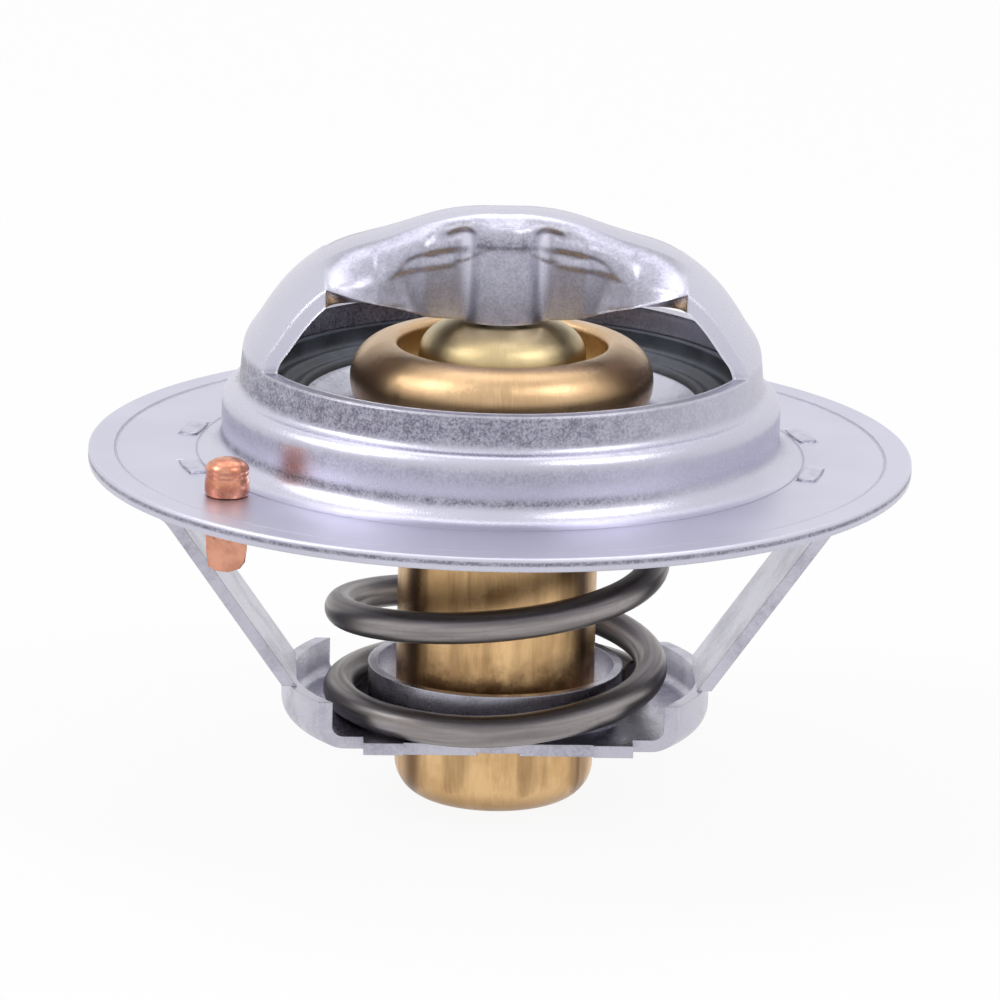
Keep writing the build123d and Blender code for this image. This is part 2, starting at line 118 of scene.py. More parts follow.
BRIDGE_RAMP = (8.6 * MM, 9.2 * MM)
FACE_DEPTH_RAMP = (1.35 * MM, 1.9 * MM)
FACE_RADIUS_RAMP = (12.6 * MM, 10.8 * MM)
SADDLE_DEPTH_RAMP = (1.5 * MM, 2.0 * MM)
SADDLE_REACH_RAMP = (2.5 * MM, 1.6 * MM)
FLANK_HIGHLIGHT_RAMP = (15.6 * MM, 14.8 * MM)

# Marks of the capsule and the pin, painted shade on the cup's sides and on the rim's lower part among them,
# in the same way
CUP_SIDE_SHADE_BAND = (5.0 * MM, 6.0 * MM, 0.45 * MM)
CUP_LOW_BAND = (-15.4 * MM, -13.2 * MM, 1.4 * MM)
CUP_UPPER_BAND = (-4.8 * MM, -3.2 * MM, 0.7 * MM)
CUP_BOTTOM_RAMP = (-21.4 * MM, -23.0 * MM)
CUP_TOP_RAMP = (0.8 * MM, 1.8 * MM)
RIM_SHADE_RAMP = (5.6 * MM, 3.0 * MM)
RIM_BROWN_RAMP = (2.2 * MM, 3.2 * MM)
RIM_BROWNING = 0.42
TAIL_RAMP = (-1.6 * MM, -2.2 * MM)

# Finished front and back of the bridge, with the boss running up into the crest
FACE_REACH = 8.9 * MM
FACE_FADE = 2.2 * MM
FACE_COLUMNS = 178
FACE_ROWS = 64
FACE_PROUD = 0.015 * MM
FACE_SUNK = 0.02 * MM
FACE_THICKNESS = 0.3 * MM
FACE_TOP_SHARE = 0.93
BORDER_DIVE = 0.4 * MM
BORDER_WIDTH = 0.6 * MM
BORDER_ROWS = 3
SMOOTHING_ROUNDS = 2
BELOW_BRIDGE = 8.0 * MM
INSIDE_BRIDGE = 12.2 * MM
ABOVE_BRIDGE = 17.0 * MM
LIMIT_HALVINGS = 22
CREST_MARGIN = 0.3 * MM
CREST_FADE_LENGTH = 0.95 * MM
CREST_FADE_STOP = 0.08 * MM
BOSS_HALF_WIDTH = 2.78 * MM
BOSS_FRONT = 2.72 * MM
BOSS_SQUARENESS = 2.3
BOSS_FILLET = 0.5 * MM
BESIDE_BOSS = 3.0 * MM
PAST_BOSS_RAMP = (3.1 * MM, 3.6 * MM)
VALLEY_DEPTH = 1.72 * MM
VALLEY_SLOPE = 0.57
PANEL_LEAN = 0.06
PANEL_FILLET = 0.15 * MM
HOLLOW_DEPTH = 0.12 * MM
HOLLOW_END_RAMP = (4.7 * MM, 5.7 * MM)
HOLLOW_HEIGHT = 13.65 * MM
HOLLOW_HALF_HEIGHT = 0.25 * MM
PACKED_CREASE_LOWEST = 11.4 * MM
CREASE_TOP = 12.88 * MM
CREASE_LEVEL_REACH = 4.6 * MM
CREASE_FALL = 61.0
CREASE_STEP = 0.07 * MM
CREASE_SOFTNESS = 0.06 * MM
CREASE_FADE_START = 0.3 * MM
CREASE_FADE_END = 0.9 * MM

# Packed sheet of the bridge, split finely and moved in under those faces
PULL_REACH = 7.3 * MM
SOCKET_REACH = 1.95 * MM
LONGEST_EDGE = 0.3 * MM
SPLIT_ROUNDS = 5
LEAST_PULL = 0.01 * MM
COVER_MARGIN = 0.07 * MM

# Bleed pin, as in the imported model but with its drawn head; profile and tail in millimetres
PIN_SHIFT = 0.18 * MM
PIN_PROFILE = (
    (1.15, -0.1), (1.36, -0.04), (1.45, 0.18), (1.45, 0.6), (1.42, 0.98), (1.35, 1.14), (1.34, 1.2),
    (1.39, 1.28), (1.39, 1.36), (1.34, 1.44), (1.35, 1.5), (1.42, 1.62),
)
PIN_CROWN_RADIUS = 1.42 * MM
PIN_CROWN_START = 1.62 * MM
PIN_CROWN_STEPS = 12
PIN_SHANK_RADIUS = 0.95 * MM
PIN_TAIL = (
    (-0.95, -2.0), (-1.33, -2.6), (-1.3, -3.7), (-1.16, -4.8), (-0.7, -5.1), (0.15, -5.2), (0.9, -4.95),
    (1.22, -4.5), (1.33, -3.6), (1.33, -2.6), (0.95, -2.0),
)
PIN_TAIL_THICKNESS = 0.8 * MM
PIN_TAIL_ROUND = 0.14 * MM
PIN_TAIL_ROUND_STEPS = 3
STEPS_ROUND_PIN = 64

# Upset ends of the four tabs staked through the flange
TAB_PITCH_RADIUS = 20.7 * MM
TAB_ANGLE = 14.0
TAB_HALF_LENGTH = 1.98 * MM
TAB_HALF_WIDTH = 0.78 * MM
TAB_HEIGHT = 0.2 * MM
TAB_DENT = 0.14
TAB_WAVES = (5, 2.4)
TAB_FLATNESS = 6
TAB_ROOT_DEPTH = 0.12 * MM
TAB_CORNER_ROUND = 0.24
TAB_STEPS = 24
TAB_GAP_SHADE_RAMP = (FLANGE_TOP + 0.16 * MM, FLANGE_TOP + 0.07 * MM)

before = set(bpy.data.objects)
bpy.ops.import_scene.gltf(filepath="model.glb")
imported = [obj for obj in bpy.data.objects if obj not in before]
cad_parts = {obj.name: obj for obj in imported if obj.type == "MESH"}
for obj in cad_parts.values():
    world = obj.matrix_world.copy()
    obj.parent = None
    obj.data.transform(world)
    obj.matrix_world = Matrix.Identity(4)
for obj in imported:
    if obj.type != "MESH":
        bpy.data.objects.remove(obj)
cad_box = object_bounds()
scene = bpy.context.scene
scene.view_settings.view_transform = "Standard"


def link(item):
    """Puts a new object into the scene."""
    scene.collection.objects.link(item)
    return item


def color(red, green, blue):
    return (red, green, blue, 1.0)


def scaled(tone, amount):
    """A colour made brighter or darker."""
    return [amount * value for value in tone[:3]] + [1.0]


class Paint:
    """One node material, built from small steps that each return a socket."""

    def __init__(self, name):
        self.material = bpy.data.materials.new(name)
        self.material.use_nodes = True
        self.tree = self.material.node_tree
        self.shader = self.tree.nodes["Principled BSDF"]
        self.place = self.add("ShaderNodeTexCoord").outputs["Object"]
        split = self.add("ShaderNodeSeparateXYZ", {0: self.place})
        self.x, self.y, self.z = split.outputs
        flat = self.add("ShaderNodeCombineXYZ", {0: self.x, 1: self.y})
        length = self.add("ShaderNodeVectorMath", {0: flat.outputs[0]}, operation="LENGTH")
        self.radius = length.outputs["Value"]
        self.rounded = None

    def add(self, kind, inputs=None, **settings):
        node = self.tree.nodes.new(kind)
        for key, value in settings.items():
            setattr(node, key, value)
        for key, value in (inputs or {}).items():
            if isinstance(value, bpy.types.NodeSocket):
                self.tree.links.new(value, node.inputs[key])
            else:
                node.inputs[key].default_value = value
        return node

    def math(self, operation, first, second=0.0):
        return self.add("ShaderNodeMath", {0: first, 1: second}, operation=operation).outputs[0]

    def times(self, first, *others):
        for other in others:
            first = self.math("MULTIPLY", first, other)
        return first

    def plus(self, first, *others):
        for other in others:
            first = self.math("ADD", first, other)
        return first

    def most(self, first, *others):
        for other in others:
            first = self.math("MAXIMUM", first, other)
        return first

    def remap(self, value, low, high, start=0.0, end=1.0):
        inputs = {"Value": value, "From Min": low, "From Max": high, "To Min": start, "To Max": end}
        return self.add("ShaderNodeMapRange", inputs, interpolation_type="SMOOTHSTEP").outputs["Result"]

    def band(self, value, low, high, soft):
        """One between low and high, falling to nothing over the soft distance outside."""
        rise = self.remap(value, low - soft, low + soft)
        fall = self.remap(value, high - soft, high + soft, 1.0, 0.0)
        return self.times(rise, fall)

    def noise(self, scale, detail=3.0, rough=0.55, stretch=(1, 1, 1), place=None):
        spread = self.add("ShaderNodeMapping", {"Vector": place or self.place, "Scale": stretch})
        inputs = {"Vector": spread.outputs[0], "Scale": scale, "Detail": detail, "Roughness": rough}
        return self.add("ShaderNodeTexNoise", inputs).outputs[0]

    def turned(self, fine, coarse, detail=2.0):
        """Noise in rings round the axis, as a tool or a drawing die leaves."""
        over = self.most(self.radius, 1e-6)
        across = self.math("DIVIDE", self.x, over)
        along = self.math("DIVIDE", self.y, over)
        around = self.times(across, coarse / fine)
        rings = self.add("ShaderNodeCombineXYZ", {0: self.radius, 1: self.z, 2: around}).outputs[0]
        inputs = {"Vector": rings, "W": self.times(along, coarse), "Scale": fine, "Detail": detail}
        return self.add("ShaderNodeTexNoise", inputs, noise_dimensions="4D").outputs[0]

    def mix(self, share, first, second):
        node = self.add("ShaderNodeMix", {0: share, 6: first, 7: second}, data_type="RGBA")
        return node.outputs[2]

    def bump(self, height, distance, strength, normal=None):
        inputs = {"Height": height, "Distance": distance, "Strength": strength}
        if normal is not None:
            inputs["Normal"] = normal
        return self.add("ShaderNodeBump", inputs).outputs[0]

    def soft_edge(self, radius=EDGE_ROUND):
        """Normal that rounds sharp edges off, so that they catch the light."""
        if self.rounded is None:
            self.rounded = self.add("ShaderNodeBevel", {"Radius": radius}, samples=4).outputs[0]
        return self.rounded

    def edges(self):
        """How near a point is to a sharp edge."""
        here = self.add("ShaderNodeNewGeometry").outputs["Normal"]
        likeness = self.add("ShaderNodeVectorMath", {0: here, 1: self.soft_edge()}, operation="DOT_PRODUCT")
        return self.remap(likeness.outputs["Value"], 0.985, 0.93)

    def finish(self, tone, rough, normal, metallic=1.0, **constants):
        pairs = {"Base Color": tone, "Roughness": rough, "Normal": normal, "Metallic": metallic}
        for key, value in pairs.items():
            if isinstance(value, bpy.types.NodeSocket):
                self.tree.links.new(value, self.shader.inputs[key])
            else:
                self.shader.inputs[key].default_value = value
        for key, value in constants.items():
            self.shader.inputs[key.replace("_", " ")].default_value = value
        return self.material


def stamped_steel(name, light, dark, polished, zones, rounding=EDGE_ROUND):
    """Bright stamped stainless sheet, finely grained and darker where its zones say (painted shade on the top
    stamping and in the tabs' gaps, random grain and wear elsewhere), lighter with a painted highlight where
    they say bright and along its sharp edges.
    """
    paint = Paint(name)
    soft = paint.soft_edge(rounding)
    zone, bright, matt = zones(paint)
    grain = paint.noise(5600, detail=4.0, rough=0.7)
    patches = paint.noise(1100, detail=3.0, rough=0.6)
    cloud = paint.noise(90, detail=2.0, rough=0.5)
    rings = paint.turned(fine=3200, coarse=4.0)
    mixed = paint.plus(paint.times(grain, 0.7), paint.times(patches, 0.3))
    shade = paint.remap(mixed, 0.37, 0.63, 0.28, 0.86)
    tinted = paint.mix(paint.remap(cloud, 0.35, 0.65, 0.0, 0.5), light, scaled(light, 0.88))
    # Painted shade where the zones say: the sheet mixed toward the dark tone in mottled grain
    darkened = paint.mix(paint.times(zone, shade), tinted, dark)
    # Painted highlight where the zones say bright
    lit = paint.mix(bright, darkened, scaled(light, 1.12))
    # Painted highlight along sharp edges
    painted = paint.mix(paint.times(paint.edges(), 0.45), lit, color(0.80, 0.79, 0.86))
    duller = paint.most(paint.times(zone, 0.1), paint.times(matt, 0.13))
    fine = paint.plus(paint.times(grain, 0.08), paint.times(rings, 0.06))
    rough = paint.plus(duller, fine, polished)
    wavy = paint.bump(cloud, distance=0.05 * MM, strength=0.4, normal=soft)
    lined = paint.bump(rings, distance=0.006 * MM, strength=0.5, normal=wavy)
    height = paint.times(grain, paint.remap(zone, 0.0, 1.0, 0.15, 1.0))
    normal = paint.bump(height, distance=0.01 * MM, strength=0.6, normal=lined)
    return paint.finish(painted, rough, normal)


def frame_zones(paint):
    """Where painted shade darkens and grains the top stamping, where a painted highlight lightens its boss's
    flanks, and its matt flange.
    """
    depth = paint.math("ABSOLUTE", paint.y)
    reach = paint.math("ABSOLUTE", paint.x)
    on_bridge = paint.remap(paint.z, *BRIDGE_RAMP)
    on_flange = paint.remap(paint.z, *FLANGE_TOP_RAMP)
    # Painted shade: dark mottled lines under the ring's shoulder and in the corner at its foot, the dark band
    # round the dome's foot, darker on the left than on the right
    lines = paint.most(paint.times(paint.band(paint.z, *SHOULDER_BAND), 0.5), paint.band(paint.z, *FOOT_BAND))
    on_wall = paint.times(lines, paint.band(paint.radius, *WALL_BAND))
    walls = paint.most(paint.band(paint.z, *DOME_FOOT_BAND), on_wall)
    ring = paint.times(walls, paint.remap(paint.x, *RING_RAMP, 1.0, 0.3))
    # Painted shade along the flange's front edge, and a painted shadow line at the rim's step
    edge = paint.times(paint.remap(paint.radius, *EDGE_RAMP), paint.band(paint.z, *EDGE_BAND))
    step = paint.times(paint.band(paint.radius, *STEP_BAND), on_flange, 0.5)
    # Painted shade over the bridge's front and back faces, and a dark painted patch on the saddle above the
    # boss
    slope = paint.times(paint.remap(depth, *FACE_DEPTH_RAMP), on_bridge)
    faces = paint.times(slope, paint.remap(paint.radius, *FACE_RADIUS_RAMP), 0.5)
    near_top = paint.times(paint.band(paint.z, *SADDLE_BAND), paint.remap(depth, *SADDLE_DEPTH_RAMP))
    saddle = paint.times(near_top, paint.remap(reach, *SADDLE_REACH_RAMP), 0.8)
    zone = paint.most(ring, edge, step, faces, saddle)
    # Painted highlight: light strips down the boss's flanks, fading out towards the top
    flank = paint.times(paint.band(reach, *FLANK_BAND), on_bridge)
    flank_highlight = paint.times(flank, paint.remap(paint.z, *FLANK_HIGHLIGHT_RAMP))
    matt = paint.times(paint.remap(paint.radius, *MATT_RAMP), on_flange)
    plain = paint.math("SUBTRACT", 1.0, flank_highlight)
    return paint.times(zone, plain), paint.times(flank_highlight, 0.9), matt


def plain_zones(paint):
    """A light, even grain all over, and no painted highlight and nothing matt."""
    return paint.remap(paint.noise(260, detail=3.0, rough=0.55), 0.38, 0.7, 0.12, 0.6), 0.0, 0.0


def staked_zones(paint):
    """Painted shade in the gap round each upset end, and a worn middle."""
    # Painted shade where each end dips into its slot
    gap = paint.remap(paint.z, *TAB_GAP_SHADE_RAMP)
    darkened = paint.remap(paint.noise(900, detail=2.0, rough=0.5), 0.4, 0.7, 0.05, 0.4)
    return paint.most(gap, darkened), 0.0, 0.0


def turned_brass(name, light, deep, stain_and_shade_tone, polished, stains_and_shade):
    """Drawn or turned brass with fine rings, clouds of tarnish, its own marks (staining, and on the cup
    painted shade too) and a painted highlight along its sharp edges.
    """
    paint = Paint(name)
    rings = paint.turned(fine=9000, coarse=3.0)
    wide = paint.turned(fine=900, coarse=2.0)
    cloud = paint.noise(240, detail=4.0, rough=0.6)
    blotch = paint.noise(900, detail=3.0, rough=0.6)
    mixed = paint.plus(paint.times(cloud, 0.6), paint.times(wide, 0.4))
    base = paint.mix(paint.remap(mixed, 0.4, 0.62), light, deep)
    browning = paint.remap(paint.z, *RIM_BROWN_RAMP, 0.0, RIM_BROWNING)
    browner = paint.mix(browning, base, color(0.40, 0.30, 0.215))
    # On the cup these marks are partly staining and partly painted shade
    stained_and_shaded = paint.mix(stains_and_shade(paint, cloud, blotch), browner, stain_and_shade_tone)
    # Painted highlight along sharp edges
    painted = paint.mix(paint.times(paint.edges(), 0.4), stained_and_shaded, light)
    cloudy = paint.remap(cloud, 0.3, 0.7, polished, polished + 0.1)
    rough = paint.plus(cloudy, paint.times(rings, 0.1))
    fine = paint.bump(rings, distance=0.012 * MM, strength=0.5, normal=paint.soft_edge())
    normal = paint.bump(blotch, distance=0.01 * MM, strength=0.4, normal=fine)
    return paint.finish(painted, rough, normal)


def cup_stains_and_shade(paint, cloud, blotch):
    """Dark streaks down the cup, painted shade broken by streaks down its left and right sides, a dark band
    low down, the smoky upper part, darker towards the bottom, and painted shade on the rim's lower part below
    its lighter top.
    """
    streaks = paint.noise(520, detail=3.0, rough=0.6, stretch=(1, 1, 0.1))
    down = paint.times(paint.remap(streaks, 0.46, 0.66), 0.5)
    # Painted shade: a dark band down the cup's left and right sides, broken by streaks
    sides = paint.band(paint.math("ABSOLUTE", paint.x), *CUP_SIDE_SHADE_BAND)
    side_shade_bars = paint.times(sides, paint.remap(streaks, 0.3, 0.55, 0.45, 0.95))
    patch = paint.times(paint.band(paint.z, *CUP_LOW_BAND), paint.remap(blotch, 0.3, 0.62, 0.15, 0.85))
    smoke = paint.times(paint.band(paint.z, *CUP_UPPER_BAND), paint.remap(cloud, 0.36, 0.58, 0.1, 0.75))
    bottom = paint.remap(paint.z, *CUP_BOTTOM_RAMP, 0.0, 0.6)
    marks = paint.most(down, side_shade_bars, patch, smoke, bottom)
    on_cup = paint.remap(paint.z, *CUP_TOP_RAMP, 1.0, 0.0)
    on_rim = paint.math("SUBTRACT", 1.0, on_cup)
    # Painted shade: the rim darker low down than on its top
    rim = paint.times(paint.remap(paint.z, *RIM_SHADE_RAMP), paint.remap(cloud, 0.3, 0.7, 0.35, 0.6))
    return paint.plus(paint.times(marks, on_cup), paint.times(rim, on_rim))


def guide_stains(paint, _cloud, blotch):
    """A few small dull specks."""
    return paint.times(paint.remap(blotch, 0.6, 0.72), 0.25)


def copper(name):
    """Cold-headed copper, bright on its head and hammered on its flattened tail."""
    paint = Paint(name)
    cloud = paint.noise(900, detail=4.0, rough=0.65)
    marks = paint.noise(1300, detail=2.0, rough=0.5, stretch=(1, 1, 0.4))
    tail = paint.remap(paint.z, *TAIL_RAMP)
    shade = paint.mix(paint.remap(cloud, 0.38, 0.64), color(0.72, 0.33, 0.22), color(0.50, 0.19, 0.12))
    pale = paint.mix(paint.times(tail, 0.45), shade, color(0.84, 0.45, 0.32))
    rough = paint.plus(paint.remap(cloud, 0.3, 0.7, 0.2, 0.36), paint.times(tail, 0.12))
    height = paint.times(marks, paint.remap(tail, 0.0, 1.0, 0.02, 1.0))
    normal = paint.bump(height, distance=0.12 * MM, strength=0.7, normal=paint.soft_edge())
    return paint.finish(pale, rough, normal)


def drawn_wire(name):
    """Dull spring wire with streaks along its length, read from the coil's own map."""
    paint = Paint(name)
    along = paint.add("ShaderNodeTexCoord").outputs["UV"]
    streaks = paint.noise(10, detail=4.0, rough=0.55, stretch=(0.12, 1.3, 1.0), place=along)
    fine = paint.noise(70, detail=3.0, rough=0.6, stretch=(0.08, 1.6, 1.0), place=along)
    spots = paint.noise(1500, detail=3.0, rough=0.6)
    shade = paint.mix(paint.remap(streaks, 0.3, 0.7), color(0.36, 0.335, 0.33), color(0.235, 0.215, 0.21))
    dull = paint.mix(paint.remap(spots, 0.5, 0.8, 0.0, 0.22), shade, color(0.14, 0.125, 0.12))
    rough = paint.plus(paint.remap(streaks, 0.3, 0.7, 0.3, 0.4), paint.times(fine, 0.08))
    normal = paint.bump(fine, distance=0.012 * MM, strength=0.5)
    return paint.finish(dull, rough, normal)


def moulded_rubber(name, light, dark, rough_low):
    """Moulded rubber with a faint bloom and fine flow rings."""
    paint = Paint(name)
    bloom = paint.noise(350, detail=4.0, rough=0.6)
    grain = paint.noise(5200, detail=2.0, rough=0.5)
    rings = paint.turned(fine=2600, coarse=1.5)
    shade = paint.mix(paint.remap(bloom, 0.4, 0.68), dark, light)
    bloomed = paint.remap(bloom, 0.3, 0.7, rough_low, rough_low + 0.15)
    rough = paint.plus(bloomed, paint.times(grain, 0.06))
    flow = paint.bump(rings, distance=0.03 * MM, strength=0.4, normal=paint.soft_edge())
    normal = paint.bump(grain, distance=0.008 * MM, strength=0.5, normal=flow)
    return paint.finish(shade, rough, normal, metallic=0.0, Specular_IOR_Level=0.6)


def waxy(name, light, dark, rough_low):
    """Plain hard or waxy filling with soft clouds."""
    paint = Paint(name)
    cloud = paint.noise(380, detail=4.0, rough=0.6)
    grain = paint.noise(4200, detail=2.0, rough=0.5)
    shade = paint.mix(paint.remap(cloud, 0.35, 0.66), light, dark)
    clouded = paint.remap(cloud, 0.3, 0.7, rough_low, rough_low + 0.15)
    rough = paint.plus(clouded, paint.times(grain, 0.08))
    normal = paint.bump(grain, distance=0.01 * MM, strength=0.5, normal=paint.soft_edge())
    return paint.finish(shade, rough, normal, metallic=0.0)


def finished_piece(mesh, name, material, sharp_angle):
    """Turns a drawn mesh into a smooth-shaded piece with its sharp edges kept."""
    bmesh.ops.recalc_face_normals(mesh, faces=mesh.faces)
    for face in mesh.faces:
        face.smooth = True
    data = bpy.data.meshes.new(name)
    mesh.to_mesh(data)
    mesh.free()
    data.materials.append(material)
    data.set_sharp_from_angle(angle=radians(sharp_angle))
    return link(bpy.data.objects.new(name, data))


def coil_height(turned, rise_turn, low):
    """Height of the wire's middle after an angle from the start of the rise, easing at both ends."""
    per_degree = COIL_PITCH / 360
    if turned <= 0:
        return low
    if turned < EASE_ANGLE:
        return low + per_degree * turned**2 / (2 * EASE_ANGLE)
    if turned < rise_turn - EASE_ANGLE:
        return low + per_degree * (turned - EASE_ANGLE / 2)
    left = max(rise_turn - turned, 0)
    return low + per_degree * (rise_turn - EASE_ANGLE - left**2 / (2 * EASE_ANGLE))


def coil_centres():
    """Middle of the wire along the coil."""
    low = PLATE_TOP + WIRE_RADIUS + SEAT_GAP
    high = VALVE_UNDERSIDE - WIRE_RADIUS - SEAT_GAP
    rise_turn = (high - low) * 360 / COIL_PITCH + EASE_ANGLE
    closed = 360 * CLOSED_TURNS
    count = round((rise_turn + 2 * closed) * POINTS_PER_TURN / 360)
    centres = []
    for i in range(count + 1):
        turned = -closed + (rise_turn + 2 * closed) * i / count
        angle = radians(RISE_START_ANGLE + turned)
        height = coil_height(turned, rise_turn, low)
        centres.append(Vector((COIL_RADIUS * cos(angle), COIL_RADIUS * sin(angle), height)))
    return centres


def wire_loops(mesh, centres):
    """Rings of points round the wire, with a smaller one at each chamfered end."""
    last = len(centres) - 1
    rings = [(centres[0], WIRE_RADIUS - WIRE_END_CHAMFER, 0)]
    for i, centre in enumerate(centres):
        rings.append((centre, WIRE_RADIUS, i))
    rings.append((centres[last], WIRE_RADIUS - WIRE_END_CHAMFER, last))
    loops = []
    for number, (centre, radius, i) in enumerate(rings):
        ahead = (centres[min(i + 1, last)] - centres[max(i - 1, 0)]).normalized()
        if number == 1:
            centre = centre + ahead * WIRE_END_CHAMFER
        if number == len(rings) - 2:
            centre = centre - ahead * WIRE_END_CHAMFER
        outward = Vector((centre.x, centre.y, 0)).normalized()
        upward = ahead.cross(outward).normalized()
        outward = upward.cross(ahead)
        loop = []
        for k in range(POINTS_ROUND_WIRE):
            angle = pi + 2 * pi * k / POINTS_ROUND_WIRE
            loop.append(mesh.verts.new(centre + (outward * cos(angle) + upward * sin(angle)) * radius))
        loops.append(loop)
    return loops


def make_spring(material):
    """Round wire along the coil, with chamfered ends and a map that runs along it."""
    centres = coil_centres()
    mesh = bmesh.new()
    loops = wire_loops(mesh, centres)
    layer = mesh.loops.layers.uv.new("along")
    step = (centres[1] - centres[0]).length
    for number in range(len(loops) - 1):
        for k in range(POINTS_ROUND_WIRE):
            near = (k + 1) % POINTS_ROUND_WIRE
            corners = (loops[number][k], loops[number + 1][k], loops[number + 1][near], loops[number][near])
            face = mesh.faces.new(corners)
            spots = ((number, k), (number + 1, k), (number + 1, k + 1), (number, k + 1))
            for corner, (far, turn) in zip(face.loops, spots):
                corner[layer].uv = (far * step / WIRE_MAP_LENGTH, turn / POINTS_ROUND_WIRE)
    mesh.faces.new(loops[0])
    mesh.faces.new(list(reversed(loops[-1])))
    return finished_piece(mesh, "coil_wire", material, WIRE_SHARP_ANGLE)


def smoothstep(low, high, value):
    """Zero up to low, one from high, easing between."""
    share = min(max((value - low) / (high - low), 0.0), 1.0)
    return share * share * (3 - 2 * share)


def filleted(first, second, width):
    """The larger of two depths, with a fillet where they meet."""
    near = max(width - abs(first - second), 0.0) / width
    return max(first, second) + near * near * width / 4


def packed_depth(surface, x, z):
    """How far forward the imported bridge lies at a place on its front, or None outside it."""
    hit = surface.ray_cast(Vector((x, cad_box[0].y, z)), Vector((0, 1, 0)))[0]
    return None if hit is None or hit.y > 0 else -hit.y


def bridge_limit(surface, x, empty, solid):
    """Height between an empty and a solid one at which the bridge's front ends."""
    for _ in range(LIMIT_HALVINGS):
        middle = (empty + solid) / 2
        if packed_depth(surface, x, middle) is None:
            empty = middle
        else:
            solid = middle
    return solid


def packed_column(surface, x):
    """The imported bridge's front at a distance along it: heights, depths, and its brow and crease."""
    hem = bridge_limit(surface, x, BELOW_BRIDGE, INSIDE_BRIDGE)
    top = bridge_limit(surface, x, ABOVE_BRIDGE, INSIDE_BRIDGE) - CREST_MARGIN
    heights = [hem + (top - hem) * row / (FACE_ROWS - 1) for row in range(FACE_ROWS)]
    depths = [packed_depth(surface, x, height) or 0.0 for height in heights]
    places = list(zip(depths, heights))
    brow, brow_height = max((d, h) for d, h in places if h > INSIDE_BRIDGE)
    crease, crease_height = min((d, h) for d, h in places if PACKED_CREASE_LOWEST < h < brow_height)
    return heights, depths, (brow_height, brow), (crease_height, crease)


def read_depth(heights, depths, height):
    """Depth of a column at any height, between its rows."""
    place = (height - heights[0]) / (heights[-1] - heights[0]) * (len(heights) - 1)
    place = min(max(place, 0.0), len(heights) - 1.001)
    row = int(place)
    return depths[row] + (depths[row + 1] - depths[row]) * (place - row)


def panel_depth(column, reach, z):
    """Depth of the bent sheet beside the boss: pinched in near it, and nearly upright below its brow."""
    heights, depths, (brow_height, brow), (crease_height, crease) = column
    packed = read_depth(heights, depths, z)
    pinched = min(brow, VALLEY_DEPTH + VALLEY_SLOPE * (reach - BOSS_HALF_WIDTH))
    if z >= brow_height:
        return packed - (brow - pinched)
    pressed = packed
    if z >= crease_height:
        pressed = crease + (pinched - crease) * (packed - crease) / max(brow - crease, TINY)
    return filleted(pinched - PANEL_LEAN * (brow_height - z), pressed, PANEL_FILLET)


def sheet_depth(column, reach, z):
    """Finished depth of the sheet beside the boss, with its hollow and its fine crease."""
    past_boss = smoothstep(*PAST_BOSS_RAMP, reach)
    hollow = past_boss * (1 - smoothstep(*HOLLOW_END_RAMP, reach))
    hollowed = HOLLOW_DEPTH * hollow / (1 + ((z - HOLLOW_HEIGHT) / HOLLOW_HALF_HEIGHT) ** 4)
    line = CREASE_TOP - CREASE_FALL * max(reach - CREASE_LEVEL_REACH, 0) ** 2
    above = smoothstep(line - CREASE_SOFTNESS, line + CREASE_SOFTNESS, z)
    fading = 1 - smoothstep(line + CREASE_FADE_START, line + CREASE_FADE_END, z)
    return panel_depth(column, reach, z) - hollowed + CREASE_STEP * past_boss * (above * fading)


def finished_columns(surface, places):
    """Packed and finished depths of the bridge's front, as columns of (height, packed, finished)."""
    middle_heights, middle_depths = packed_column(surface, 0.0)[:2]
    beside_boss = packed_column(surface, BESIDE_BOSS)
    grid = []
    for x in places:
        reach = abs(x)
        own = packed_column(surface, x)
        heights, depths = own[:2]
        sheet_column = own if reach >= BESIDE_BOSS else beside_boss
        across = min(reach / BOSS_HALF_WIDTH, 1.0)
        bulge = (1 - across**BOSS_SQUARENESS) ** (1 / BOSS_SQUARENESS)
        shown = 1 - smoothstep(FACE_REACH - FACE_FADE, FACE_REACH, reach)
        crest = heights[-1]
        column = []
        for height, packed in zip(heights, depths):
            sheet = sheet_depth(sheet_column, max(reach, BESIDE_BOSS), height)
            inside = read_depth(middle_heights, middle_depths, max(height, middle_heights[1]))
            lean = min(inside / BOSS_FRONT, 1.0)
            finished = filleted(sheet, BOSS_FRONT * bulge * lean, BOSS_FILLET)
            share = shown * (1 - smoothstep(crest - CREST_FADE_LENGTH, crest - CREST_FADE_STOP, height))
            column.append((height, packed, packed + (finished - packed) * share))
        grid.append(column)
    return grid


def softened(grid):
    """Finished depths averaged with their neighbours', with the grid's border kept."""
    for _ in range(SMOOTHING_ROUNDS):
        before = [[row[2] for row in column] for column in grid]
        for i in range(1, len(grid) - 1):
            for j in range(1, len(grid[i]) - 1):
                beside = before[i - 1][j] + before[i + 1][j] + before[i][j - 1] + before[i][j + 1]
                grid[i][j] = (grid[i][j][0], grid[i][j][1], before[i][j] / 2 + beside / 8)
    return grid


